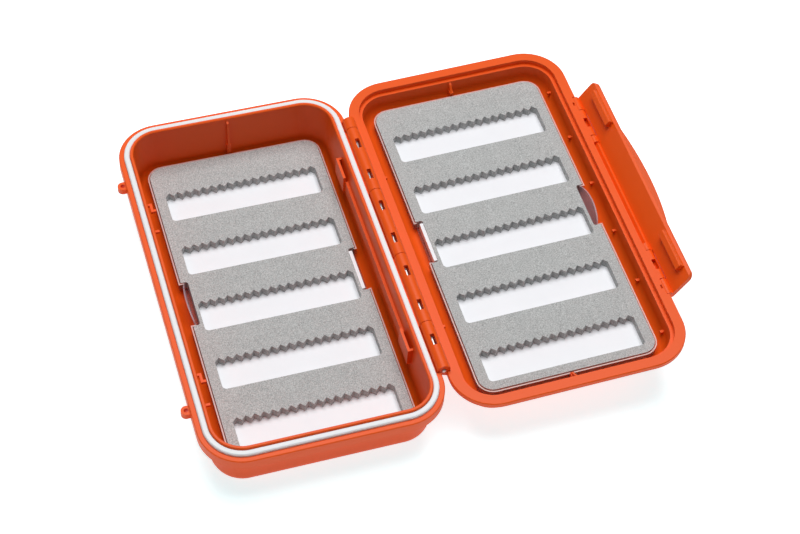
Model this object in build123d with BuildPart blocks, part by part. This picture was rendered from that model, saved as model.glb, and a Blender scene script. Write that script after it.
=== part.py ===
from build123d import *

import os
from math import acos, atan, cos, degrees, hypot, radians, sin, sqrt, tan

os.makedirs("parts", exist_ok=True)

# Waterproof fly box, lid laid open. The origin is the centre of the base's flat underside,
# +X points across the hinge to the open lid, +Y along the hinge and +Z up. Millimetres.

# Outline shared by both shells
LENGTH = 190.0
WIDTH = 107.0
CORNER_R = 19.5
FLOOR = 1.8
FOOT_R = 9.0

# Base shell
BASE_RIM_Z = 27.5
BASE_FLANGE_H = 6.0
BASE_RIM_W = 6.6
BASE_WALL = 2.8
BASE_DRAFT = 6.0
OUTER_RIDGE_W = 2.4
RIDGE_W = 1.5
RIDGE_H = 2.2
GROOVE_DEPTH = 1.5
STEP_H = 0.9
STEP_IN = 0.5
EDGE_C = 0.35

# Gasket
GASKET_W = 2.3
GASKET_H = 3.0
GASKET_FIT = 0.05

# Lid shell
LID_DEPTH = 16.3
LID_FLANGE_H = 3.2
LID_FLANGE_W = 4.8
LID_LEDGE_W = 1.5
LID_LEDGE_DROP = 2.6
LID_WALL = 2.0
LID_DRAFT = 6.0
OPEN_ANGLE = 178.0
SEAL_GAP = 0.1

# Main hinge
BARREL_R = 3.0
PIN_R = 1.0
PIN_PROUD = 0.3
RUN_FIT = 0.05
SWING_GAP = 0.35
END_GAP = 0.15
HINGE_OUT = 1.3
HINGE_BELOW = 1.2
KNUCKLE_PITCH = 38.47
HINGE_FAR = 74.5
HINGE_NEAR = 72.8
KNUCKLE_FAR = 67.75
WINDOW_L = 5.6
WINDOW_W = 1.9

# Latch
LATCH_L = 120.6
LATCH_REACH = 14.2
LATCH_T = 2.0
LATCH_FACE = 1.0
LATCH_EASE = 0.9
LATCH_IN = 0.2
LATCH_R = 2.0
LATCH_PIN_R = 1.0
LATCH_FLARE = 35.0
LATCH_GAP = 0.35
LATCH_CORNER_R = 3.0
LUG_L = 16.2
LUG_Y = 43.7
EAR_IN_L = 4.0
STUB_L = 4.5
NOTCH_W = 1.6
ROOT_IN = 1.2
ROOT_UP = 1.4
ROOT_DOWN = 1.5
POCKET_IN = 2.2
POCKET_Y = 56.2
POCKET_W = 0.8
POCKET_L = 2.0
BAR_L = 20.6
BAR_Y = 43.7
BAR_T = 3.4
BAR_PROUD = 2.8
BAR_R = 0.6
HOOK_GAP = 0.3
LIP_L = 61.0
LIP_PROUD = 3.8
LIP_T = 2.2

# Lanyard eyelets
EYE_Y = 63.0
EYE_OUT = 1.4
EYE_R = 2.3
EYE_HOLE_R = 1.0
EYE_H = 3.0
EYE_DROP = 1.3

# Inserts: foam on a white backing in a clear tray, a little off the middle of each shell
BASE_INSERT_X = 0.8
BASE_INSERT_Y = 1.05
LID_INSERT_X = 0.6
LID_INSERT_Y = 0.8
FOAM_T = 4.0
SIDE_GAP = 4.3
ENDS_GAP = 3.5
BACKING_T = 0.35
TRAY_T = 0.6
TRAY_FIT = 0.4
TRAY_DROP = 0.5
SLOT_MARGIN = 4.6
SLOT_L = 14.8
SLOT_R = 2.0
SLOTS = 5
FAR_BAR = 16.2
NEAR_BAR = 4.2
TOOTH_D = 2.0
TEETH = 18
GRIP_L = 24.5
GRIP_Y = 2.0
GRIP_D = 3.2
GRIP_R = 1.2
STRIP_W = 1.6
STRIP_DROP = 0.5
TAB_PROUD = 1.8
SEAT_FIT = 0.05

# Inner ribs and lugs
RIB_T = 1.0
RIB_FOOT_T = 1.8
RIB_PROUD = 1.3
RIB_FIT = 0.4
RIB_FOOT = 0.45
LUG_T = 1.2
BRACKET_Y = 56.7
BRACKET_L = 12.5
BRACKET_H = 9.5
BRACKET_DROP = 5.6
BRACKET_PROUD = 2.6
RAIL_PROUD = 1.3
RAIL_H = 6.0
RAIL_DROP = 8.5
LEFT_LUGS = (56.0, -41.0)
LEFT_LUG_L = 5.0
LEFT_PEG_GAP = 11.5
LEFT_DROP = 11.0
PEG_PITCH = 29.4
PEG_L = 1.7
PEG_DROP = 8.3

# Levels and frames that follow from the sizes above
BASE_FLANGE_Z = BASE_RIM_Z - BASE_FLANGE_H
RIDGE_Z = BASE_RIM_Z + RIDGE_H
GASKET_Z = BASE_RIM_Z - GROOVE_DEPTH
LID_CLOSED_Z = GASKET_Z + GASKET_H + SEAL_GAP
HINGE_X = WIDTH / 2 + HINGE_OUT
HINGE_Z = LID_CLOSED_Z - HINGE_BELOW
LID_RIM_W = LID_FLANGE_W + LID_LEDGE_W
BASE_TUB_IN = BASE_RIM_W - BASE_WALL
LID_TUB_IN = LID_RIM_W - LID_WALL
BASE_DEPTH = RIDGE_Z - FLOOR
BASE_FLOOR_IN = BASE_RIM_W + (BASE_FLANGE_Z - FLOOR) * tan(radians(BASE_DRAFT))
LID_FLOOR_IN = LID_RIM_W + (LID_DEPTH - LID_FLANGE_H - FLOOR) * tan(radians(LID_DRAFT))
BASE_SLOPE = (BASE_FLOOR_IN - BASE_RIM_W) / BASE_DEPTH
LID_SLOPE = (LID_FLOOR_IN - LID_RIM_W) / (LID_DEPTH - FLOOR)
FLOOR_R = FOOT_R - FLOOR
TILT = 180.0 - OPEN_ANGLE
LID_MID = HINGE_OUT + WIDTH / 2
HINGE_FRAME = Plane(
    origin=(HINGE_X, 0, HINGE_Z),
    x_dir=(cos(radians(TILT)), 0, sin(radians(TILT))),
    z_dir=(-sin(radians(TILT)), 0, cos(radians(TILT))),
)
LID_RIM = Plane(
    origin=HINGE_FRAME.from_local_coords(Vector(LID_MID, 0, -HINGE_BELOW)),
    x_dir=HINGE_FRAME.x_dir,
    z_dir=HINGE_FRAME.z_dir,
)
LID_UP = Axis(LID_RIM.origin, LID_RIM.z_dir)
LATCH_LEAN = TILT - LATCH_FLARE
LATCH_FRAME = Plane(
    origin=LID_RIM.from_local_coords(Vector(WIDTH / 2 - LATCH_IN, 0, -LATCH_R)),
    x_dir=(cos(radians(LATCH_LEAN)), 0, sin(radians(LATCH_LEAN))),
    z_dir=(-sin(radians(LATCH_LEAN)), 0, cos(radians(LATCH_LEAN))),
)


def section(frame, y):
    """Plane across a frame at height y, its x and y along the frame's x and z, facing -Y."""
    return Plane(
        origin=frame.from_local_coords(Vector(0, y, 0)),
        x_dir=frame.x_dir,
        z_dir=(0, -1, 0),
    )


def rim_outline(inset, mode=Mode.ADD):
    """Outline of the shells, drawn in by an inset."""
    return RectangleRounded(
        WIDTH - 2 * inset,
        LENGTH - 2 * inset,
        CORNER_R - inset,
        mode=mode,
    )


foam_in = max(BASE_FLOOR_IN, LID_FLOOR_IN)
foam_w = WIDTH - 2 * (foam_in + SIDE_GAP)
foam_l = LENGTH - 2 * (foam_in + ENDS_GAP)
foam_r = CORNER_R - foam_in - SIDE_GAP
slot_w = foam_w - 2 * SLOT_MARGIN
slot_pitch = (foam_l - FAR_BAR - NEAR_BAR - SLOT_L - TOOTH_D) / (SLOTS - 1)
tray_w = foam_w + 2 * (TRAY_FIT + TRAY_T)
tray_l = foam_l + 2 * (TRAY_FIT + TRAY_T)
tray_r = foam_r + TRAY_FIT + TRAY_T


def seat_height(floor_in, off_x, off_y):
    """Height over the floor at which a tray's edge rests on the floor fillet."""
    out_x = max(off_x + tray_w / 2 - tray_r - WIDTH / 2 + CORNER_R, 0)
    out_y = max(off_y + tray_l / 2 - tray_r - LENGTH / 2 + CORNER_R, 0)
    flat_r = CORNER_R - floor_in - FLOOR_R
    over = max(hypot(out_x, out_y) + tray_r - TRAY_T - flat_r, 0)
    return FLOOR_R - sqrt(FLOOR_R**2 - over**2) + SEAT_FIT


BASE_SEAT_Z = FLOOR + seat_height(BASE_FLOOR_IN, BASE_INSERT_X, BASE_INSERT_Y)
LID_SEAT_Z = FLOOR - LID_DEPTH + seat_height(LID_FLOOR_IN, LID_INSERT_X, LID_INSERT_Y)
BASE_SEAT = Plane((BASE_INSERT_X, BASE_INSERT_Y, BASE_SEAT_Z))
LID_SEAT = Plane(
    origin=LID_RIM.from_local_coords(Vector(LID_INSERT_X, LID_INSERT_Y, LID_SEAT_Z)),
    x_dir=LID_RIM.x_dir,
    z_dir=LID_RIM.z_dir,
)

knuckle_ends = [HINGE_FAR]
knuckle_ends += [KNUCKLE_FAR - i * KNUCKLE_PITCH for i in range(4)]
knuckle_ends += [-HINGE_NEAR]
knuckles = list(zip(knuckle_ends[:-1], knuckle_ends[1:]))
base_knuckles = knuckles[1::2]
lid_knuckles = knuckles[0::2]
windows = [KNUCKLE_PITCH / 2 * i for i in range(-3, 4)]


def in_knuckles(y, spans):
    """Whether a window at y lies in one of the knuckle spans."""
    return any(low < y < high for high, low in spans)


bracket_x = WIDTH / 2 - BASE_RIM_W - BASE_SLOPE * BRACKET_DROP - BRACKET_PROUD
rail_x = WIDTH / 2 - BASE_RIM_W - BASE_SLOPE * RAIL_DROP - RAIL_PROUD
left_x = WIDTH / 2 - BASE_RIM_W - BASE_SLOPE * LEFT_DROP - BRACKET_PROUD
peg_x = WIDTH / 2 - LID_RIM_W - LID_SLOPE * PEG_DROP

latch_seat = Plane(LATCH_FRAME.origin, x_dir=LID_RIM.x_dir, z_dir=LID_RIM.z_dir)
ear_out_in = LUG_Y + LUG_L / 2 + LATCH_GAP
ear_in_out = LUG_Y - LUG_L / 2 - LATCH_GAP
latch_root_y = ear_in_out - EAR_IN_L
latch_out = LATCH_FACE + LATCH_T
latch_ears = [
    (LATCH_L / 2, ear_out_in),
    (ear_in_out, latch_root_y),
    (-latch_root_y, -ear_in_out),
    (-ear_out_in, -LATCH_L / 2),
]
hook_z = LATCH_R + SEAL_GAP + LID_CLOSED_Z - SEAL_GAP - BASE_FLANGE_Z + HOOK_GAP


lid_middle = Plane(LID_RIM.origin, x_dir=(0, 1, 0), z_dir=LID_RIM.x_dir)
lid_floor = FLOOR - LID_DEPTH


def rib_tip(side, off_y):
    """Distance from the shell's middle to the free edge of a centre rib's foot, by the tray."""
    return tray_l / 2 + RIB_FIT + side * off_y


def corner_arc(side, floor_z, floor_in, off_y):
    """Points in the middle of the shell's wall round the floor's edge, as far in as the ribs."""
    centre = LENGTH / 2 - floor_in - FLOOR_R
    radius = FLOOR_R + FLOOR / 2
    turn = degrees(acos(min(max((rib_tip(side, off_y) - centre) / radius, 0), 1)))
    return [
        (
            side * (centre + radius * cos(radians(turn * i / 2))),
            floor_z + FLOOR_R - radius * sin(radians(turn * i / 2)),
        )
        for i in range(3)
    ]


def rib_line(side, top, floor_z, rim_in, floor_in, off_y):
    """Free edges of a centre rib: a thin upper edge that slopes out to a foot at the tray."""
    near, middle, low = corner_arc(side, floor_z, floor_in, off_y)
    return [
        near,
        (side * (LENGTH / 2 - rim_in + FLOOR / 2), top),
        (side * (LENGTH / 2 - rim_in - RIB_PROUD), top - RIB_PROUD),
        (side * rib_tip(side, off_y), (top + floor_z) / 2 + RIB_PROUD),
        low,
    ]


def foot_line(side, top, floor_z, floor_in, off_y):
    """Free edges of the thicker foot of a centre rib."""
    near, middle, low = corner_arc(side, floor_z, floor_in, off_y)
    return [near, (near[0], top), (side * rib_tip(side, off_y), top), low]


def tooth_line(y):
    """Saw-tooth edge of a window whose slot tips reach y, closed below by a straight line."""
    half = slot_w / 2
    pitch = slot_w / TEETH
    points = [(-half, y - TOOTH_D - SLOT_R)]
    for i in range(TEETH):
        points.append((-half + i * pitch, y - TOOTH_D))
        points.append((-half + (i + 0.5) * pitch, y))
    points.append((half, y - TOOTH_D))
    points.append((half, y - TOOTH_D - SLOT_R))
    return points


# ---------------------------------------------------------------- base shell
# Space inside the base, with a rounded floor edge
with BuildPart() as base_cavity:
    with BuildSketch(Plane.XY.offset(RIDGE_Z)):
        rim_outline(BASE_RIM_W)
    extrude(amount=-BASE_DEPTH, taper=degrees(atan(BASE_SLOPE)))
    fillet(base_cavity.faces().sort_by(Axis.Z)[0].edges(), FLOOR_R)

with BuildPart() as base_shell:
    # Drafted tub with a rounded foot
    with BuildSketch(Plane.XY.offset(BASE_FLANGE_Z)):
        rim_outline(BASE_TUB_IN)
    extrude(amount=-BASE_FLANGE_Z, taper=BASE_DRAFT)
    fillet(base_shell.faces().sort_by(Axis.Z)[0].edges(), FOOT_R)
    # Flange, stepped in along its lower edge
    with BuildSketch(Plane.XY.offset(BASE_FLANGE_Z)):
        rim_outline(STEP_IN)
    extrude(amount=BASE_FLANGE_H)
    with BuildSketch(Plane.XY.offset(BASE_FLANGE_Z + STEP_H)):
        rim_outline(0)
    extrude(amount=BASE_FLANGE_H - STEP_H)
    chamfer(base_shell.faces().sort_by(Axis.Z)[-1].outer_wire().edges(), EDGE_C)
    # Inner ridge that stands above the flange
    with BuildSketch(Plane.XY.offset(BASE_RIM_Z)):
        rim_outline(BASE_RIM_W - RIDGE_W)
    extrude(amount=RIDGE_H)
    # Cavity
    add(base_cavity.part, mode=Mode.SUBTRACT)
    ridge_top = base_shell.faces().sort_by(Axis.Z)[-1]
    chamfer(ridge_top.edges(), EDGE_C)
    # Gasket groove
    with BuildSketch(Plane.XY.offset(BASE_RIM_Z)):
        rim_outline(OUTER_RIDGE_W)
        rim_outline(BASE_RIM_W - RIDGE_W, mode=Mode.SUBTRACT)
    extrude(amount=-GROOVE_DEPTH, mode=Mode.SUBTRACT)
    # Room for the lid's knuckles
    for high, low in lid_knuckles:
        with BuildSketch(section(Plane.XY, high + END_GAP)):
            with Locations((HINGE_X, HINGE_Z)):
                Circle(BARREL_R + SWING_GAP)
        extrude(amount=high - low + 2 * END_GAP, mode=Mode.SUBTRACT)
    # Base knuckles on webs that rise from the flange
    for high, low in base_knuckles:
        with BuildSketch(section(Plane.XY, high - END_GAP)):
            with Locations((HINGE_X, HINGE_Z)):
                Circle(BARREL_R)
            with BuildLine():
                Polyline(
                    (WIDTH / 2 - STEP_IN, BASE_FLANGE_Z),
                    (HINGE_X + BARREL_R * cos(radians(45)), HINGE_Z - BARREL_R * sin(radians(45))),
                    (HINGE_X, HINGE_Z),
                    (WIDTH / 2 - STEP_IN, HINGE_Z - HINGE_BELOW),
                    close=True,
                )
            make_face()
        extrude(amount=high - low - 2 * END_GAP)
    for high, low in base_knuckles:
        with BuildSketch(section(Plane.XY, high)):
            with Locations((HINGE_X, HINGE_Z)):
                Circle(PIN_R + RUN_FIT)
        extrude(amount=high - low, mode=Mode.SUBTRACT)
    # Windows in the barrel over the pin
    with BuildSketch(Plane.XY.offset(HINGE_Z + BARREL_R)):
        with Locations([(HINGE_X, y) for y in windows if in_knuckles(y, base_knuckles)]):
            Rectangle(WINDOW_W, WINDOW_L)
    extrude(amount=-BARREL_R, mode=Mode.SUBTRACT)
    # Lanyard eyelets on the free side
    with BuildSketch(Plane.XY.offset(BASE_RIM_Z - EYE_DROP)):
        with Locations((-WIDTH / 2 - EYE_OUT, EYE_Y), (-WIDTH / 2 - EYE_OUT, -EYE_Y)):
            Circle(EYE_R)
        with Locations(
            (-WIDTH / 2 - EYE_OUT / 2 + 0.5, EYE_Y),
            (-WIDTH / 2 - EYE_OUT / 2 + 0.5, -EYE_Y),
        ):
            Rectangle(EYE_OUT + 1, 2 * EYE_R)
    extrude(amount=-EYE_H)
    with BuildSketch(Plane.XY.offset(BASE_RIM_Z)):
        with Locations((-WIDTH / 2 - EYE_OUT, EYE_Y), (-WIDTH / 2 - EYE_OUT, -EYE_Y)):
            Circle(EYE_HOLE_R)
    extrude(amount=-BASE_FLANGE_H, mode=Mode.SUBTRACT)
    # Stepped centre rib on each end wall
    ends = (FLOOR, BASE_FLOOR_IN, BASE_INSERT_Y)
    with BuildSketch(Plane.YZ.offset(-RIB_T / 2)):
        for side in (1, -1):
            with BuildLine():
                Polyline(rib_line(side, RIDGE_Z - 1.2, FLOOR, BASE_RIM_W, *ends[1:]))
                ThreePointArc(corner_arc(side, *ends))
            make_face()
    extrude(amount=RIB_T)
    with BuildSketch(Plane.YZ.offset(-RIB_FOOT_T / 2)):
        for side in (1, -1):
            with BuildLine():
                Polyline(foot_line(side, FLOOR + BASE_DEPTH * RIB_FOOT, *ends))
                ThreePointArc(corner_arc(side, *ends))
            make_face()
    extrude(amount=RIB_FOOT_T)
    # Angle brackets on the hinge wall, open towards each other, with a rail between them
    with BuildSketch(Plane.XY.offset(RIDGE_Z - BRACKET_DROP)):
        for side in (1, -1):
            with Locations((bracket_x + BRACKET_PROUD, side * (BRACKET_Y - LUG_T / 2))):
                Rectangle(2 * BRACKET_PROUD, LUG_T)
            with Locations((bracket_x + LUG_T / 2, side * (BRACKET_Y - BRACKET_L / 2))):
                Rectangle(LUG_T, BRACKET_L)
    extrude(amount=-BRACKET_H)
    with BuildSketch(Plane.XY.offset(RIDGE_Z - RAIL_DROP)):
        with Locations((rail_x + RAIL_PROUD, 0)):
            Rectangle(2 * RAIL_PROUD, 2 * (BRACKET_Y - BRACKET_L))
    extrude(amount=-RAIL_H)
    # Small angle lugs and pegs on the free wall
    with BuildSketch(Plane.XY.offset(RIDGE_Z - LEFT_DROP)):
        for y in LEFT_LUGS:
            with Locations((-left_x - BRACKET_PROUD, y - LUG_T / 2)):
                Rectangle(2 * BRACKET_PROUD, LUG_T)
            with Locations((-left_x - LUG_T / 2, y - LEFT_LUG_L / 2)):
                Rectangle(LUG_T, LEFT_LUG_L)
            with Locations((-left_x - BRACKET_PROUD, y - LEFT_LUG_L - LEFT_PEG_GAP)):
                Rectangle(2 * BRACKET_PROUD, LUG_T)
            with Locations((-left_x + LUG_T / 2, y - LEFT_LUG_L + LUG_T / 2)):
                Rectangle(LUG_T, LUG_T)
    extrude(amount=-LUG_T)
base_shell.part.label = "base_shell"
export_step(base_shell.part, "parts/base_shell.step")

# ---------------------------------------------------------------- gasket
with BuildPart() as gasket:
    with BuildSketch(Plane.XY.offset(GASKET_Z)):
        rim_outline(OUTER_RIDGE_W + GASKET_FIT)
        rim_outline(OUTER_RIDGE_W + GASKET_FIT + GASKET_W, mode=Mode.SUBTRACT)
    extrude(amount=GASKET_H)
    chamfer(gasket.faces().sort_by(Axis.Z)[-1].edges(), GASKET_W * 0.3)
gasket.part.label = "gasket"
export_step(gasket.part, "parts/gasket.step")

# ---------------------------------------------------------------- lid shell
# Space inside the lid, with a rounded floor edge
with BuildPart() as lid_cavity:
    with BuildSketch(LID_RIM):
        rim_outline(LID_RIM_W)
    extrude(amount=FLOOR - LID_DEPTH, taper=degrees(atan(LID_SLOPE)))
    fillet(lid_cavity.faces().sort_by(LID_UP)[0].edges(), FLOOR_R)

with BuildPart() as lid_shell:
    # Drafted tub with a rounded crown
    with BuildSketch(LID_RIM.offset(-LID_FLANGE_H)):
        rim_outline(LID_TUB_IN)
    extrude(amount=LID_FLANGE_H - LID_DEPTH, taper=LID_DRAFT)
    fillet(lid_shell.faces().sort_by(LID_UP)[0].edges(), FOOT_R)
    # Flange, stepped in along its outer edge
    with BuildSketch(LID_RIM.offset(-LID_FLANGE_H)):
        rim_outline(STEP_IN)
    extrude(amount=LID_FLANGE_H)
    with BuildSketch(LID_RIM.offset(STEP_H - LID_FLANGE_H)):
        rim_outline(0)
    extrude(amount=LID_FLANGE_H - STEP_H)
    chamfer(lid_shell.faces().sort_by(LID_UP)[-1].outer_wire().edges(), EDGE_C)
    # Cavity, and the ledge that clears the base's inner ridge
    add(lid_cavity.part, mode=Mode.SUBTRACT)
    with BuildSketch(LID_RIM):
        rim_outline(LID_FLANGE_W)
    extrude(amount=-LID_LEDGE_DROP, mode=Mode.SUBTRACT)
    # Room for the base's knuckles
    for high, low in base_knuckles:
        with BuildSketch(section(HINGE_FRAME, high + END_GAP)):
            Circle(BARREL_R + SWING_GAP)
        extrude(amount=high - low + 2 * END_GAP, mode=Mode.SUBTRACT)
    # Lid knuckles on webs that rise from the flange
    for high, low in lid_knuckles:
        with BuildSketch(section(HINGE_FRAME, high - END_GAP)):
            Circle(BARREL_R)
            with BuildLine():
                Polyline(
                    (HINGE_OUT + STEP_IN, -HINGE_BELOW - LID_FLANGE_H),
                    (-BARREL_R * cos(radians(70)), -BARREL_R * sin(radians(70))),
                    (0, 0),
                    (HINGE_OUT + STEP_IN, -HINGE_BELOW),
                    close=True,
                )
            make_face()
        extrude(amount=high - low - 2 * END_GAP)
    for high, low in lid_knuckles:
        with BuildSketch(section(HINGE_FRAME, high)):
            Circle(PIN_R + RUN_FIT)
        extrude(amount=high - low, mode=Mode.SUBTRACT)
    with BuildSketch(HINGE_FRAME.offset(BARREL_R)):
        with Locations([(0, y) for y in windows if in_knuckles(y, lid_knuckles)]):
            Rectangle(WINDOW_W, WINDOW_L)
    extrude(amount=-BARREL_R, mode=Mode.SUBTRACT)
    # Notch in the flange for the latch's root, room for its ears and a pocket beside each outer one
    with BuildSketch(LID_RIM):
        with Locations((WIDTH / 2, 0)):
            Rectangle(2 * NOTCH_W, 2 * latch_root_y)
    extrude(amount=-LID_FLANGE_H, mode=Mode.SUBTRACT)
    with BuildSketch(LID_RIM):
        with Locations((WIDTH / 2 - POCKET_IN, POCKET_Y), (WIDTH / 2 - POCKET_IN, -POCKET_Y)):
            Rectangle(POCKET_W, POCKET_L)
    extrude(amount=-LATCH_R, mode=Mode.SUBTRACT)
    for high, low in latch_ears:
        with BuildSketch(section(latch_seat, high + LATCH_GAP)):
            Circle(LATCH_R + LATCH_GAP)
            with Locations((LATCH_R + 1, 0)):
                Rectangle(2 * (LATCH_R + 1), 4 * LATCH_R)
        extrude(amount=high - low + 2 * LATCH_GAP, mode=Mode.SUBTRACT)
    # Lugs that carry the latch's pivots, each with a window over its pivot
    for y in (LUG_Y, -LUG_Y):
        with BuildSketch(section(latch_seat, y + LUG_L / 2)):
            Circle(LATCH_R)
            with Locations((-LATCH_R / 2, 0)):
                Rectangle(LATCH_R, 2 * LATCH_R)
        extrude(amount=LUG_L)
    for y in (LUG_Y, -LUG_Y):
        with BuildSketch(section(latch_seat, y + LUG_L / 2)):
            Circle(LATCH_PIN_R + RUN_FIT)
        extrude(amount=LUG_L, mode=Mode.SUBTRACT)
    with BuildSketch(latch_seat.offset(LATCH_R)):
        with Locations((0, LUG_Y), (0, -LUG_Y)):
            Rectangle(WINDOW_W, WINDOW_L)
    extrude(amount=-LATCH_R, mode=Mode.SUBTRACT)
    # Stepped centre rib on each end wall
    ends = (lid_floor, LID_FLOOR_IN, LID_INSERT_Y)
    with BuildSketch(lid_middle.offset(-RIB_T / 2)):
        for side in (1, -1):
            with BuildLine():
                Polyline(rib_line(side, -LID_LEDGE_DROP, lid_floor, LID_RIM_W, *ends[1:]))
                ThreePointArc(corner_arc(side, *ends))
            make_face()
    extrude(amount=RIB_T)
    with BuildSketch(lid_middle.offset(-RIB_FOOT_T / 2)):
        for side in (1, -1):
            with BuildLine():
                Polyline(foot_line(side, -LID_DEPTH * RIB_FOOT, *ends))
                ThreePointArc(corner_arc(side, *ends))
            make_face()
    extrude(amount=RIB_FOOT_T)
    # Pegs along both long walls
    with BuildSketch(LID_RIM.offset(-PEG_DROP)):
        with Locations([(peg_x - PEG_L / 2 + 0.5, PEG_PITCH * (i - 2.5)) for i in range(6)]):
            Rectangle(PEG_L + 1, LUG_T)
        with Locations([(-peg_x + PEG_L / 2 - 0.5, PEG_PITCH * (i - 2.5)) for i in (1, 4)]):
            Rectangle(PEG_L + 1, LUG_T)
    extrude(amount=-LUG_T)
lid_shell.part.label = "lid_shell"
export_step(lid_shell.part, "parts/lid_shell.step")

# ---------------------------------------------------------------- hinge pin
with BuildPart() as hinge_pin:
    with BuildSketch(section(Plane.XY, HINGE_FAR + PIN_PROUD)):
        with Locations((HINGE_X, HINGE_Z)):
            Circle(PIN_R)
    extrude(amount=HINGE_FAR + HINGE_NEAR + 2 * PIN_PROUD)
    chamfer(hinge_pin.edges().filter_by(GeomType.CIRCLE), PIN_R * 0.2)
hinge_pin.part.label = "hinge_pin"
export_step(hinge_pin.part, "parts/hinge_pin.step")

# ---------------------------------------------------------------- latch
with BuildPart() as latch:
    # Flap, from its root beside the pivots to its free edge
    with BuildSketch(section(LATCH_FRAME, LATCH_L / 2)):
        with BuildLine():
            Polyline(
                (LATCH_FACE, 0),
                (LATCH_FACE, LATCH_REACH - LATCH_EASE),
                (LATCH_FACE + LATCH_EASE, LATCH_REACH),
                (latch_out, LATCH_REACH),
                (latch_out, 0),
                (LATCH_FACE + LATCH_T / 2, -LATCH_R / 2),
                close=True,
            )
        make_face()
    extrude(amount=LATCH_L)
    free_corners = latch.edges().filter_by(Axis(LATCH_FRAME.origin, LATCH_FRAME.x_dir))
    free_corners = free_corners.group_by(Axis(LATCH_FRAME.origin, LATCH_FRAME.z_dir))[-1]
    fillet(free_corners, LATCH_CORNER_R)
    # Room round the lid's lugs
    for y in (LUG_Y, -LUG_Y):
        with BuildSketch(section(LATCH_FRAME, y + LUG_L / 2 + LATCH_GAP)):
            Circle(LATCH_R + LATCH_GAP)
            with Locations((latch_out, 0)):
                Rectangle(2 * latch_out, LATCH_R)
        extrude(amount=LUG_L + 2 * LATCH_GAP, mode=Mode.SUBTRACT)
    # Thick root bar between the inner ears
    with BuildSketch(section(LATCH_FRAME, latch_root_y)):
        with Locations((LATCH_FACE - ROOT_IN / 2 + LATCH_T / 4, (ROOT_UP - ROOT_DOWN) / 2)):
            RectangleRounded(ROOT_IN + LATCH_T / 2, ROOT_UP + ROOT_DOWN, EDGE_C)
    extrude(amount=2 * latch_root_y)
    # Ears, and the stub pivots that reach from them into the lugs
    for high, low in latch_ears:
        with BuildSketch(section(LATCH_FRAME, high)):
            Circle(LATCH_R)
        extrude(amount=high - low)
    for y in (LUG_Y, -LUG_Y):
        for high in (y + LUG_L / 2 + LATCH_GAP + 1, y - LUG_L / 2 + STUB_L):
            with BuildSketch(section(LATCH_FRAME, high)):
                Circle(LATCH_PIN_R)
            extrude(amount=STUB_L + LATCH_GAP + 1)
    # Catch bars that hook under the base's flange
    for y in (BAR_Y, -BAR_Y):
        with BuildSketch(section(LATCH_FRAME, y + BAR_L / 2)):
            with Locations((LATCH_FACE - BAR_PROUD / 2 + LATCH_T / 4, hook_z + BAR_T / 2)):
                RectangleRounded(BAR_PROUD + LATCH_T / 2, BAR_T, BAR_R)
        extrude(amount=BAR_L)
    # Bowed thumb lip along the free edge
    with BuildSketch(LATCH_FRAME.offset(LATCH_REACH)):
        with BuildLine():
            Line((latch_out - 0.5, -LIP_L / 2), (latch_out - 0.5, LIP_L / 2))
            ThreePointArc(
                (latch_out - 0.5, LIP_L / 2),
                (latch_out + LIP_PROUD, 0),
                (latch_out - 0.5, -LIP_L / 2),
            )
        make_face()
    extrude(amount=-LIP_T)
latch.part.label = "latch"
export_step(latch.part, "parts/latch.step")


# ---------------------------------------------------------------- inserts
def make_tray(seat, side):
    """Clear tray; a thumb tab tops its wall on the free side, its hinge-side wall has a gap."""
    top = TRAY_T + BACKING_T + FOAM_T
    tab_in = side * (foam_w / 2 - GRIP_D + TRAY_FIT)
    with BuildPart() as tray:
        with BuildSketch(seat):
            RectangleRounded(tray_w, tray_l, tray_r)
        extrude(amount=top - TRAY_DROP)
        chamfer(tray.faces().sort_by(Axis(seat.origin, seat.z_dir))[0].edges(), TRAY_T)
        with BuildSketch(seat.offset(TRAY_T)):
            RectangleRounded(tray_w - 2 * TRAY_T, tray_l - 2 * TRAY_T, tray_r - TRAY_T)
            with Locations((-side * tray_w / 2, GRIP_Y)):
                Rectangle(2 * (TRAY_T + TRAY_FIT), GRIP_L)
        extrude(amount=top, mode=Mode.SUBTRACT)
        with BuildSketch(seat.offset(TRAY_T)):
            with Locations((side * (tray_w / 2 - TRAY_T / 2), GRIP_Y)):
                Rectangle(TRAY_T, GRIP_L - 2 * GRIP_R)
        extrude(amount=top - TRAY_T)
        with BuildSketch(seat.offset(top - TRAY_T)):
            with BuildLine():
                Line(
                    (tab_in, GRIP_Y - GRIP_L / 2 + TRAY_FIT),
                    (tab_in, GRIP_Y + GRIP_L / 2 - TRAY_FIT),
                )
                ThreePointArc(
                    (tab_in, GRIP_Y + GRIP_L / 2 - TRAY_FIT),
                    (side * (foam_w / 2 + TAB_PROUD), GRIP_Y),
                    (tab_in, GRIP_Y - GRIP_L / 2 + TRAY_FIT),
                )
            make_face()
        extrude(amount=TRAY_T)
    return tray


def make_backing(seat, side):
    """White sheet under the foam; a strip of it stands in the hinge-side grip."""
    with BuildPart() as backing:
        with BuildSketch(seat.offset(TRAY_T)):
            RectangleRounded(foam_w, foam_l, foam_r)
            with Locations((side * foam_w / 2, GRIP_Y)):
                Rectangle(2 * GRIP_D, GRIP_L, mode=Mode.SUBTRACT)
        extrude(amount=BACKING_T)
        with BuildSketch(seat.offset(TRAY_T)):
            with Locations((-side * (foam_w / 2 - GRIP_D + STRIP_W / 2 + SEAT_FIT), GRIP_Y)):
                Rectangle(STRIP_W, GRIP_L - 2 * GRIP_R)
        extrude(amount=BACKING_T + FOAM_T - STRIP_DROP)
    return backing


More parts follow.
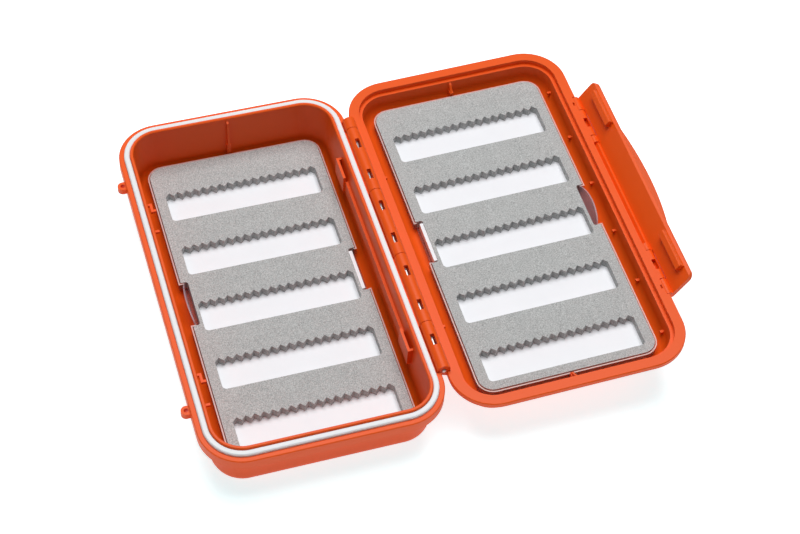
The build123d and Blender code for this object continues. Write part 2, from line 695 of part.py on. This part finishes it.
def make_foam(seat):
    """Foam pad with cross windows; one edge of each window is cut into V-shaped fly slots."""
    slots = [foam_l / 2 - FAR_BAR - slot_pitch * i for i in range(SLOTS)]
    with BuildPart() as foam:
        with BuildSketch(seat.offset(TRAY_T + BACKING_T)):
            RectangleRounded(foam_w, foam_l, foam_r)
            with Locations((foam_w / 2, GRIP_Y), (-foam_w / 2, GRIP_Y)):
                RectangleRounded(2 * GRIP_D, GRIP_L, GRIP_R, mode=Mode.SUBTRACT)
            with Locations([(0, y - TOOTH_D - SLOT_L / 2) for y in slots]):
                RectangleRounded(slot_w, SLOT_L, SLOT_R, mode=Mode.SUBTRACT)
            for y in slots:
                with BuildLine():
                    Polyline(tooth_line(y), close=True)
                make_face(mode=Mode.SUBTRACT)
        extrude(amount=FOAM_T)
    return foam


base_tray = make_tray(BASE_SEAT, -1)
base_tray.part.label = "base_tray"
export_step(base_tray.part, "parts/base_tray.step")

base_backing = make_backing(BASE_SEAT, -1)
base_backing.part.label = "base_backing"
export_step(base_backing.part, "parts/base_backing.step")

base_foam = make_foam(BASE_SEAT)
base_foam.part.label = "base_foam"
export_step(base_foam.part, "parts/base_foam.step")

lid_tray = make_tray(LID_SEAT, 1)
lid_tray.part.label = "lid_tray"
export_step(lid_tray.part, "parts/lid_tray.step")

lid_backing = make_backing(LID_SEAT, 1)
lid_backing.part.label = "lid_backing"
export_step(lid_backing.part, "parts/lid_backing.step")

lid_foam = make_foam(LID_SEAT)
lid_foam.part.label = "lid_foam"
export_step(lid_foam.part, "parts/lid_foam.step")
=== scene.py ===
# %% [markdown]
# # A waterproof fly box, laid open
#
# A fly box is a small case with two moulded shells on a pin hinge. The deep shell is the base,
# and it carries a soft gasket round its rim. The shallow shell is the lid, and it carries the
# latch flap. Both hold a slotted foam pad on a white sheet in a clear tray.
#
# The shells, latch, pin and foam come from the imported model. We form the trays, the white sheets
# and the gasket anew, because their thin edges need more shape than a solid for physics has. We
# load the model first.

from math import cos, radians, sin

import bmesh
import bpy
from mathutils import Matrix, Vector


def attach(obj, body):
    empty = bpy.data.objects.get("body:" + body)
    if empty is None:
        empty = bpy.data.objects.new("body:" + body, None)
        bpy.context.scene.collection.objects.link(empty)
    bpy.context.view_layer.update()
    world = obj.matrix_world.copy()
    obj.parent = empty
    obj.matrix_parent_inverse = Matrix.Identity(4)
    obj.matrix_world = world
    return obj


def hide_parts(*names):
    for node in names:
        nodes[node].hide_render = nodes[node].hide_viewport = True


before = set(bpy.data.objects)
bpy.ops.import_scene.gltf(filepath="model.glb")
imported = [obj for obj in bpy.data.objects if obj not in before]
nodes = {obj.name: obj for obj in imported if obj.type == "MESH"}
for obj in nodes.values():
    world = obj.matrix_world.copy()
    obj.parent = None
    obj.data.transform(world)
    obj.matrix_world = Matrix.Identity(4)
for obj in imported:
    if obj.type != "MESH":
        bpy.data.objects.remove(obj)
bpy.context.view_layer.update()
scene = bpy.context.scene
MM = 0.001
MM_PER_M = 1000
print("nodes:", sorted(nodes))

# %% [markdown]
# ## Writing materials as sums
#
# A material is a graph of nodes, and graphs are tedious to build by hand. We wrap a socket in a
# small class, so that an expression such as `1 - mask * 0.5` adds its Math nodes by itself. All
# other nodes come from one method, which sets a node's options first and its sockets after that.
# The same could be done with node groups, but plain expressions are easier to read and change.

# %% Socket arithmetic and one method that makes nodes


class Wire:
    """A number on its way through a finish; arithmetic on it adds Math nodes."""

    def __init__(self, finish, socket):
        self.finish = finish
        self.socket = socket

    def math(self, operation, first, second):
        options = {"operation": operation}
        return self.finish.node("ShaderNodeMath", options, {0: first, 1: second})

    def __add__(self, other):
        return self.math("ADD", self, other)

    def __radd__(self, other):
        return self.math("ADD", other, self)

    def __sub__(self, other):
        return self.math("SUBTRACT", self, other)

    def __rsub__(self, other):
        return self.math("SUBTRACT", other, self)

    def __mul__(self, other):
        return self.math("MULTIPLY", self, other)


class Finish:
    """A material whose nodes are added one call at a time."""

    def __init__(self, name):
        self.material = bpy.data.materials.new(name)
        self.material.use_nodes = True
        self.tree = self.material.node_tree
        self.tree.nodes.clear()

    def node(self, kind, options=None, sockets=None, out=0):
        made = self.tree.nodes.new(kind)
        for key, value in (options or {}).items():
            if key == "stops":
                ramp = made.color_ramp
                while len(ramp.elements) < len(value):
                    ramp.elements.new(0.5)
                for element, (place, colour) in zip(ramp.elements, value):
                    element.position = place
                    element.color = (*colour, 1.0)
            else:
                setattr(made, key, value)
        for key, value in (sockets or {}).items():
            if isinstance(value, Wire):
                self.tree.links.new(value.socket, made.inputs[key])
            else:
                made.inputs[key].default_value = value
        return Wire(self, made.outputs[out]) if made.outputs else made

    def surface(self, shader):
        self.node("ShaderNodeOutputMaterial", None, {"Surface": shader})
        return self.material


def srgb(red, green, blue):
    """A colour given in the 0 to 255 of a paint program, in Blender's linear light."""
    parts = [c / 255 for c in (red, green, blue)]
    return tuple(c / 12.92 if c <= 0.04045 else ((c + 0.055) / 1.055) ** 2.4 for c in parts)


# %% [markdown]
# ## Patterns in the object's own space
#
# Every pattern here reads Object coordinates. They are in metres and the pieces sit at the
# origin, so a noise scale of 1000 means one grain per millimetre. The pattern sticks to the
# plastic when the lid swings. Generated coordinates would stretch with each piece's size.

# %% Helpers for grain and colour


def place(finish, stretch=(1, 1, 1)):
    """Object coordinates, squeezed along an axis where the grain runs one way."""
    spot = finish.node("ShaderNodeTexCoord", out="Object")
    return finish.node("ShaderNodeMapping", None, {"Vector": spot, "Scale": stretch})


def grain(finish, spot, size_mm, detail=2.0, rough=0.5):
    """Noise from 0 to 1 whose grains are about size_mm wide."""
    sockets = {"Vector": spot, "Scale": MM_PER_M / size_mm, "Detail": detail, "Roughness": rough}
    return finish.node("ShaderNodeTexNoise", None, sockets)


def blend_colours(finish, amount, low, high):
    """A ramp from one colour to another."""
    stops = [(0.0, low), (1.0, high)]
    return finish.node("ShaderNodeValToRGB", {"stops": stops}, {"Fac": amount})


def relief(finish, height, depth_mm, strength=1.0):
    """A bump whose full height is depth_mm."""
    sockets = {"Strength": strength, "Distance": depth_mm * MM, "Height": height}
    return finish.node("ShaderNodeBump", None, sockets)


# %% [markdown]
# ## Orange moulded plastic
#
# The shells and the latch are injection moulded in one deep orange plastic with a satin face.
# Such a face is nearly smooth: a very fine spark texture softens its gloss, and the colour
# drifts a little where the plastic flowed. We use two noises for that, a wide faint one for
# colour and gloss and a fine one for relief. A painted look with a strong coat would be too wet.

# %% Orange plastic


def orange_plastic(name):
    finish = Finish(name)
    spot = place(finish)
    flow = grain(finish, spot, 18.0)
    spark = grain(finish, spot, 0.35, detail=1.0)
    colour = blend_colours(finish, flow, srgb(242, 89, 16), srgb(246, 93, 20))
    sockets = {
        "Base Color": colour,
        "Roughness": 0.36 + flow * 0.06 + spark * 0.06,
        "Normal": relief(finish, spark, 0.012, 0.6),
        "Specular IOR Level": 0.3,
    }
    return finish.surface(finish.node("ShaderNodeBsdfPrincipled", None, sockets))


orange = orange_plastic("orange_plastic")
print("made", orange.name)

# %% [markdown]
# ## Speckled grey foam
#
# The pads are closed-cell foam, cut from a block, so their faces show cut bubbles: pale skins
# with pits, well under a millimetre across. A Voronoi pattern gives each bubble its own grey,
# darker towards the pit, and that darkening is painted shade in the hollow. A finer noise breaks
# it up. The bump comes from the same pattern, so that the pits with painted shade are also deep.
# The material is quite rough, because open bubbles scatter light.

# %% Foam
BUBBLE_MM = 0.55


def foam_finish(name):
    finish = Finish(name)
    spot = place(finish)
    sockets = {"Vector": spot, "Scale": MM_PER_M / BUBBLE_MM, "Randomness": 1.0}
    pits = finish.node("ShaderNodeTexVoronoi", {"feature": "F1"}, sockets, out="Distance")
    fine = grain(finish, spot, 0.45, detail=2.0)
    patch = grain(finish, spot, 6.0)
    # The pits term darkens the grey: painted shade in the bubble hollows; the other terms vary it
    # at random.
    level = fine * 1.1 + pits * -0.35 + patch * 0.12 + 0.05
    colour = blend_colours(finish, level, srgb(118, 120, 120), srgb(228, 230, 229))
    sockets = {
        "Base Color": colour,
        "Roughness": 0.92 - fine * 0.1,
        "Normal": relief(finish, fine - pits * 0.5, 0.10, 0.7),
    }
    return finish.surface(finish.node("ShaderNodeBsdfPrincipled", None, sockets))


foam = foam_finish("speckled_foam")
print("made", foam.name)

# %% [markdown]
# ## White sheet
#
# The sheet under each pad is smooth white plastic with a faint haze. A plain white would look
# like paper, so a wide noise shifts its tone a little and a fine one softens its gloss.

# %% White sheet


def sheet_finish(name):
    finish = Finish(name)
    spot = place(finish)
    haze = grain(finish, spot, 12.0)
    skin = grain(finish, spot, 0.6)
    sockets = {
        "Base Color": blend_colours(finish, haze, srgb(243, 244, 248), srgb(248, 249, 253)),
        "Roughness": 0.42 + skin * 0.1,
        "Normal": relief(finish, skin, 0.01, 0.4),
    }
    return finish.surface(finish.node("ShaderNodeBsdfPrincipled", None, sockets))


white_sheet = sheet_finish("white_sheet")
print("made", white_sheet.name)

# %% [markdown]
# ## Pale gasket
#
# The gasket is soft silicone. Light goes a little way into it, which a small subsurface weight
# shows. Without that it would look like hard paint.

# %% Silicone


def gasket_finish(name):
    finish = Finish(name)
    spot = place(finish)
    cloud = grain(finish, spot, 7.0)
    skin = grain(finish, spot, 0.5)
    sockets = {
        "Base Color": blend_colours(finish, cloud, srgb(236, 239, 242), srgb(241, 244, 246)),
        "Roughness": 0.34 + skin * 0.1,
        "Normal": relief(finish, skin, 0.015, 0.5),
        "Subsurface Weight": 0.2,
        "Subsurface Radius": (0.0012, 0.0012, 0.0012),
        "Subsurface Scale": 1.0,
    }
    return finish.surface(finish.node("ShaderNodeBsdfPrincipled", None, sockets))


silicone = gasket_finish("pale_silicone")
print("made", silicone.name)

# %% [markdown]
# ## Steel pin
#
# The pin is drawn steel rod, so its scratches run along it. We stretch the noise that way
# instead of turning the highlight with an anisotropic shader, which a 2 mm rod hardly shows.

# %% Steel pin


def steel_finish(name):
    finish = Finish(name)
    spot = place(finish, stretch=(1.0, 0.04, 1.0))
    drawn = grain(finish, spot, 0.25, detail=3.0)
    sockets = {
        "Base Color": blend_colours(finish, drawn, srgb(176, 176, 178), srgb(206, 206, 208)),
        "Metallic": 1.0,
        "Roughness": 0.22 + drawn * 0.18,
        "Normal": relief(finish, drawn, 0.01, 0.5),
    }
    return finish.surface(finish.node("ShaderNodeBsdfPrincipled", None, sockets))


steel = steel_finish("drawn_steel")
print("made", steel.name)

# %% [markdown]
# ## Clear tray, frosted tab and painted edge highlight
#
# The tray is thin clear plastic, which we make by letting most of what lies behind it through.
# True transmission would darken such a thin wall twice, and it takes many more samples to
# settle. The thumb tab is frosted and takes more colour. The rim is given a pale pink painted
# highlight, which stands for light caught on the cut edge, so the same function makes all three.

# %% Clear plastic


def clear_finish(name, low, high, alpha, rough):
    """Thin clear plastic: a faint colour over what lies behind it."""
    finish = Finish(name)
    spot = place(finish)
    wave = grain(finish, spot, 9.0)
    frost = grain(finish, spot, 0.5)
    sockets = {
        "Base Color": blend_colours(finish, frost, low, high),
        "Roughness": rough + wave * 0.05,
        "Normal": relief(finish, wave, 0.04, 0.3),
        "Alpha": alpha + wave * 0.06,
    }
    return finish.surface(finish.node("ShaderNodeBsdfPrincipled", None, sockets))


# The tray's warm brown tint is partly the plastic's smoky tint and partly painted shade with
# orange bounce from the shells.
clear = clear_finish("clear_plastic", srgb(136, 90, 88), srgb(148, 102, 100), 0.24, 0.14)
frosted = clear_finish("frosted_tab", srgb(156, 142, 154), srgb(214, 190, 198), 0.56, 0.36)
# Painted highlight: the tray's rim is pale pink so that it reads as light caught on its cut edge.
painted_edge_highlight = clear_finish("painted_edge_highlight", srgb(244, 208, 202), srgb(250, 222, 216), 0.62, 0.2)
print("made", clear.name, frosted.name, painted_edge_highlight.name)

# %% [markdown]
# ## Trays and white sheets
#
# A clear tray is formed from one thin sheet, so its walls nearly vanish, and its rim carries a
# painted highlight as a bright line. On the free side the wall steps inward at the finger grip,
# and its top leans outward as a thumb tab. On the hinge side the wall drops at the grip, and a
# strip of the white sheet stands there. We walk once round the tray and note how high the wall
# stands at each corner and how far it leans, and the vertices follow from that walk. A boolean
# could cut the steps, but the walk keeps every edge clean. The mesh is made for the lid, whose
# free side faces +X, and is mirrored for the base.

# %% Sizes in millimetres, and the frame of an insert
FOAM_W, FOAM_L, FOAM_R = 81.06, 165.66, 6.53
GRIP_Y, GRIP_L, GRIP_D = 2.0, 24.5, 3.2
SHEET_T, WALL_T, WALL_H, GAP_H = 0.35, 0.6, 4.45, 1.8
TRAY_OUT = 1.0
TAB_RISE, TAB_LEAN, TAB_STEPS = 3.1, 1.55, 16
TAB_OUT, TAB_MARGIN, TAB_BOW = 2.1, 0.7, 0.75
CURL_IN, CURL_SLOPE = 1.2, 0.2
STRIP_W, STRIP_L, STRIP_H, STRIP_GAP = 1.6, 22.1, 3.85, 0.05
LID_TILT = 2.0
MITRE_LIMIT = 0.3


def insert_frame(foam_name, tilt_deg, side):
    """Matrix from millimetres on the middle of a tray's underside to the row's frame."""
    tilt = Matrix.Rotation(-radians(tilt_deg), 4, "Y")
    level = [tilt.inverted() @ v.co for v in nodes[foam_name].data.vertices]
    low = Vector([min(p[i] for p in level) for i in range(3)])
    high = Vector([max(p[i] for p in level) for i in range(3)])
    under = Vector(((low.x + high.x) / 2, (low.y + high.y) / 2, low.z - (WALL_T + SHEET_T) * MM))
    return tilt @ Matrix.Translation(under) @ Matrix.Diagonal((side * MM, MM, MM, 1.0))


# %% [markdown]
# ### Walking round an insert
#
# A walk is a list of corners, each with its place, the height of the wall there and how far the
# wall leans. Moving a walk inward gives the inner face of a wall of even thickness.

# %% Walks round an insert


def round_box(width, length, radius, right=(), left=(), steps=6):
    """Rounded rectangle, anticlockwise, with extra corners on its right and left sides."""
    walk = []
    for turn, (sx, sy) in enumerate([(1, -1), (1, 1), (-1, 1), (-1, -1)]):
        for i in range(steps + 1):
            angle = radians(90 * (turn - 1 + i / steps))
            x = sx * (width / 2 - radius) + radius * cos(angle)
            y = sy * (length / 2 - radius) + radius * sin(angle)
            walk.append((x, y, WALL_H, 0.0))
        walk += {0: right, 2: left}.get(turn, ())
    return walk


def inset(walk, depth):
    """The walk moved inward by depth."""
    moved = []
    for i, (x, y, height, lean) in enumerate(walk):
        before = Vector(walk[i - 1][:2])
        after = Vector(walk[(i + 1) % len(walk)][:2])
        here = Vector((x, y))
        into, out = (here - before).normalized(), (after - here).normalized()
        turn = into + out
        normal = Vector((-turn.y, turn.x)).normalized()
        reach = depth / max(normal.dot(Vector((-into.y, into.x))), MITRE_LIMIT)
        moved.append((x + normal.x * reach, y + normal.y * reach, height, lean))
    return moved


# %% [markdown]
# ### From a walk to faces
#
# One walk gives rings of vertices at several levels, and a band of faces joins two rings. Here
# the faces are made one by one, so that each can be given its own material on the way.
# Bridging the loops with an operator would make the same faces, with the materials set later.

# %% Rings, bands and blocks


def ring(sheet, walk, level=None):
    """One vertex for each corner of a walk, at one level or on top of the leaning wall."""
    if level is None:
        return [sheet.verts.new((x + lean, y, height)) for x, y, height, lean in walk]
    return [sheet.verts.new((x, y, level)) for x, y, _, _ in walk]


def band(sheet, low, high, finish_of):
    """Faces between two rings; finish_of gives each its material."""
    for i in range(len(low)):
        j = (i + 1) % len(low)
        face = sheet.faces.new((low[i], low[j], high[j], high[i]))
        face.material_index = finish_of(i, j)


def block(sheet, xs, ys, zs):
    """A plain block between two values on each axis."""
    x, y, z = sum(xs) / 2, sum(ys) / 2, sum(zs) / 2
    size = Matrix.Diagonal((xs[1] - xs[0], ys[1] - ys[0], zs[1] - zs[0], 1.0))
    bmesh.ops.create_cube(sheet, size=1.0, matrix=Matrix.Translation((x, y, z)) @ size)


def piece(name, sheet, frame_of, body, finishes):
    """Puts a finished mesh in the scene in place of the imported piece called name."""
    sheet.transform(frame_of)
    bmesh.ops.recalc_face_normals(sheet, faces=sheet.faces)
    mesh = bpy.data.meshes.new(name + "_formed")
    sheet.to_mesh(mesh)
    sheet.free()
    for finish in finishes:
        mesh.materials.append(finish)
    made = bpy.data.objects.new(name + "_formed", mesh)
    scene.collection.objects.link(made)
    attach(made, body)
    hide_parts(name)
    print(made.name, len(mesh.vertices), "vertices")


# %% [markdown]
# ### Clear trays
#
# The tray goes up its outside, over the rim and down its inside, and two flat faces close its
# floor. The rim gets the painted edge highlight, and the tab the frosted finish.

# %% Clear trays
CLEAR, FROSTED, EDGE = 0, 1, 2


def formed_tray(name, frame_of, body):
    low_y, high_y = GRIP_Y - GRIP_L / 2 + TAB_MARGIN, GRIP_Y + GRIP_L / 2 - TAB_MARGIN
    half = FOAM_W / 2 + TRAY_OUT
    tab_x = FOAM_W / 2 - GRIP_D + TAB_OUT
    right = [(half, low_y, WALL_H, 0.0)]
    for i in range(TAB_STEPS + 1):
        t = i / TAB_STEPS
        bow = (4 * t * (1 - t)) ** TAB_BOW
        y = low_y + (high_y - low_y) * t
        right.append((tab_x, y, WALL_H + TAB_RISE * bow, TAB_LEAN * bow))
    right.append((half, high_y, WALL_H, 0.0))
    curl = CURL_IN - half
    left = [(-half, high_y, WALL_H, 0.0), (curl, high_y, WALL_H, 0.0)]
    left += [(curl, high_y - CURL_SLOPE, GAP_H, 0.0), (curl, low_y + CURL_SLOPE, GAP_H, 0.0)]
    left += [(curl, low_y, WALL_H, 0.0), (-half, low_y, WALL_H, 0.0)]
    walk = round_box(2 * half, FOAM_L + 2 * TRAY_OUT, FOAM_R + TRAY_OUT, right, left)
    inner = inset(walk, WALL_T)
    lowered = {i for i, point in enumerate(walk) if point[2] == GAP_H}
    tab = {i for i, point in enumerate(walk) if point[0] == tab_x}

    def wall(i, j):
        return FROSTED if i in tab and j in tab else CLEAR

    # The rim takes the painted edge highlight, except where the wall is lowered or is the tab.
    def rim(i, j):
        if i in lowered or j in lowered:
            return CLEAR
        return wall(i, j) or EDGE

    sheet = bmesh.new()
    under = ring(sheet, inner, 0.0)
    foot = ring(sheet, walk, WALL_T)
    top = ring(sheet, walk)
    inner_top = ring(sheet, inner)
    floor_ring = ring(sheet, inner, WALL_T)
    sheet.faces.new(under)
    band(sheet, under, foot, wall)
    band(sheet, foot, top, wall)
    band(sheet, top, inner_top, rim)
    band(sheet, inner_top, floor_ring, wall)
    sheet.faces.new(floor_ring)
    piece(name, sheet, frame_of, body, (clear, frosted, painted_edge_highlight))


# %% [markdown]
# ### White sheets
#
# The sheet lies on the tray's floor and is cut out under both finger grips. A strip of it stands
# upright at the hinge side, as a plain block.

# %% White sheets


def formed_sheet(name, frame_of, body):
    low_y, high_y = GRIP_Y - GRIP_L / 2, GRIP_Y + GRIP_L / 2
    half, grip = FOAM_W / 2, FOAM_W / 2 - GRIP_D
    right = [(half, low_y), (grip, low_y), (grip, high_y), (half, high_y)]
    left = [(-x, y) for x, y in reversed(right)]
    flat = [[(x, y, 0.0, 0.0) for x, y in corners] for corners in (right, left)]
    walk = round_box(FOAM_W, FOAM_L, FOAM_R, *flat)
    sheet = bmesh.new()
    low, high = ring(sheet, walk, WALL_T), ring(sheet, walk, WALL_T + SHEET_T)
    sheet.faces.new(low)
    band(sheet, low, high, lambda i, j: 0)
    sheet.faces.new(high)
    strip_x = (-grip - STRIP_GAP - STRIP_W, -grip - STRIP_GAP)
    strip_y = (GRIP_Y - STRIP_L / 2, GRIP_Y + STRIP_L / 2)
    block(sheet, strip_x, strip_y, (WALL_T, WALL_T + STRIP_H))
    piece(name, sheet, frame_of, body, (white_sheet,))


# %% [markdown]
# ### Gasket
#
# The gasket is one soft ring in the groove of the base's rim. Its rounded outline is given as
# pairs of a distance in from the rim and a height, and each pair becomes a ring round the rim.

# %% Gasket
BOX_W, BOX_L, BOX_R = 107.0, 190.0, 19.5
CORNER_STEPS = 20
GASKET_LINE = [(2.42, 26.0), (2.42, 28.2), (2.55, 28.65), (2.95, 28.98)]
GASKET_LINE += [(4.55, 28.98), (4.95, 28.65), (5.08, 28.2), (5.08, 26.0)]


def formed_gasket():
    """A soft rounded ring that fills the groove; its line is swept round the rim."""
    sheet = bmesh.new()
    rings = []
    for depth, level in GASKET_LINE:
        size = (BOX_W - 2 * depth, BOX_L - 2 * depth, BOX_R - depth)
        rings.append(ring(sheet, round_box(*size, steps=CORNER_STEPS), level))
    for low, high in zip(rings, rings[1:] + rings[:1]):
        band(sheet, low, high, lambda i, j: 0)
    piece("gasket", sheet, Matrix.Scale(MM, 4), "base", (silicone,))


formed_gasket()

# %% [markdown]
# ### Both inserts
#
# The foam of each shell says where its insert lies, so the trays and sheets follow it. The lid
# rests at a small tilt, which the frame of its insert takes over.

# %% Trays and sheets in place
for body, tilt_deg, side in (("base", 0.0, -1), ("lid", LID_TILT, 1)):
    insert = insert_frame(body + "_foam", tilt_deg, side)
    formed_tray(body + "_tray", insert, body)
    formed_sheet(body + "_backing", insert, body)

# %% [markdown]
# ## Dressing the pieces
#
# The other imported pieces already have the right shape, so each keeps its mesh and only changes
# its finish. Such a mesh has a material slot for each slot of the record, and we fill them.

# %% Give each piece its finish
finishes = {
    "base_shell": orange,
    "lid_shell": orange,
    "latch": orange,
    "hinge_pin": steel,
    "base_foam": foam,
    "lid_foam": foam,
}
for name, finish in finishes.items():
    for slot in nodes[name].material_slots:
        slot.material = finish
    print(name, "->", finish.name)

# %% [markdown]
# ## Paper floor
#
# The case stands on white paper. Orange plastic throws orange light on the paper round it, and
# a camera set for a white background hides that. So the camera sees a paper whose own glow is a
# little cool, which turns the short shadow neutral, and further away it sees plain white. All
# other rays meet matt paper with a faint glow, which fills the shaded sides of the shells.

# %% Floor
WHITE_LIGHT, COOL_LIGHT = (1.0, 1.0, 1.0, 1.0), (0.65, 0.97, 1.0, 1.0)
GLOW_SHARE = 0.1
NEAR_M, FAR_M = 0.22, 0.45


def paper_floor(half_m):
    mesh = bpy.data.meshes.new("paper_floor")
    sheet = bmesh.new()
    bmesh.ops.create_grid(sheet, x_segments=1, y_segments=1, size=half_m)
    sheet.to_mesh(mesh)
    sheet.free()
    floor = bpy.data.objects.new("paper_floor", mesh)
    scene.collection.objects.link(floor)
    return floor


paper = Finish("white_paper")
spot = place(paper)
fibre = grain(paper, spot, 3.0)


def paper_face(glow_colour, glow_strength):
    """Matt white paper with a glow of its own."""
    colour = blend_colours(paper, fibre, srgb(247, 247, 247), srgb(252, 252, 252))
    matt = paper.node("ShaderNodeBsdfDiffuse", None, {"Color": colour})
    sockets = {"Color": glow_colour, "Strength": glow_strength}
    glow = paper.node("ShaderNodeEmission", None, sockets)
    return paper.node("ShaderNodeMixShader", None, {"Fac": GLOW_SHARE, 1: matt, 2: glow})


eye = paper.node("ShaderNodeLightPath", out="Is Camera Ray")
lit = paper_face(WHITE_LIGHT, 4.5)
near_case = paper_face(COOL_LIGHT, 8.0)
plain = paper_face(WHITE_LIGHT, 12.0)
reach = paper.node("ShaderNodeVectorMath", {"operation": "LENGTH"}, {0: spot}, out="Value")
span = {"Value": reach, "From Min": NEAR_M, "From Max": FAR_M}
away = paper.node("ShaderNodeMapRange", None, span)
seen = paper.node("ShaderNodeMixShader", None, {"Fac": away, 1: near_case, 2: plain})
mixed = paper.node("ShaderNodeMixShader", None, {"Fac": eye, 1: lit, 2: seen})
floor = paper_floor(half_m=6.0)
floor.data.materials.append(paper.surface(mixed))
print("floor", floor.dimensions[:])

# %% [markdown]
# ## Soft studio light
#
# One wide lamp above and behind lights the inside of both shells and keeps their shadows short
# and soft. A wider one would fill them more, but it would flatten the ribs inside.

# %% Soft studio light
MIDDLE = Vector((0.059, 0.0, 0.02))


def soft_lamp(name, offset, size, watts):
    """A square lamp that faces the middle of the open case."""
    data = bpy.data.lights.new(name, "AREA")
    data.shape = "SQUARE"
    data.size = size
    data.energy = watts
    lamp = bpy.data.objects.new(name, data)
    lamp.location = MIDDLE + Vector(offset)
    aim = (MIDDLE - lamp.location).to_track_quat("-Z", "Y")
    lamp.rotation_euler = aim.to_euler()
    scene.collection.objects.link(lamp)
    print("lamp", name, watts, "W")


soft_lamp("overhead", offset=(0.05, 0.22, 1.1), size=0.9, watts=12.7)

world = bpy.data.worlds.new("soft_room")
scene.world = world
world.use_nodes = True
back = world.node_tree.nodes["Background"]
back.inputs["Color"].default_value = WHITE_LIGHT
back.inputs["Strength"].default_value = 0.12
scene.view_settings.view_transform = "Standard"

# %% [markdown]
# ## Camera
#
# The camera stands high in front and to the left, turned slightly on its axis. Its place is
# given by the direction it looks from, the point that it looks at and its distance. The focal
# length comes from its field, counted in pixels of a frame 800 wide.

# %% Camera
FRAME_W = 800
FOCAL_PX = 1926.887
LOOK_AT = Vector((54.8 - 2.292, -15.914, 29.7)) * MM
DISTANCE = 849.324 * MM
AZIMUTH, ELEVATION, ROLL = radians(-20.818), radians(52.047), radians(4.831)

toward = Vector((sin(AZIMUTH) * cos(ELEVATION), -cos(AZIMUTH) * cos(ELEVATION), sin(ELEVATION)))
level = (-toward).cross(Vector((0, 0, 1))).normalized()
upright = level.cross(-toward)
across = cos(ROLL) * level + sin(ROLL) * upright
upward = -sin(ROLL) * level + cos(ROLL) * upright

lens = bpy.data.cameras.new("camera")
lens.sensor_width = 36.0
lens.lens = FOCAL_PX * lens.sensor_width / FRAME_W
lens.clip_start = 0.01
camera = bpy.data.objects.new("camera", lens)
scene.collection.objects.link(camera)
turn = Matrix((across, upward, toward)).transposed().to_4x4()
camera.matrix_world = Matrix.Translation(LOOK_AT + toward * DISTANCE) @ turn
scene.camera = camera
print("lens", round(lens.lens, 2), "mm at", [round(c, 4) for c in camera.location])
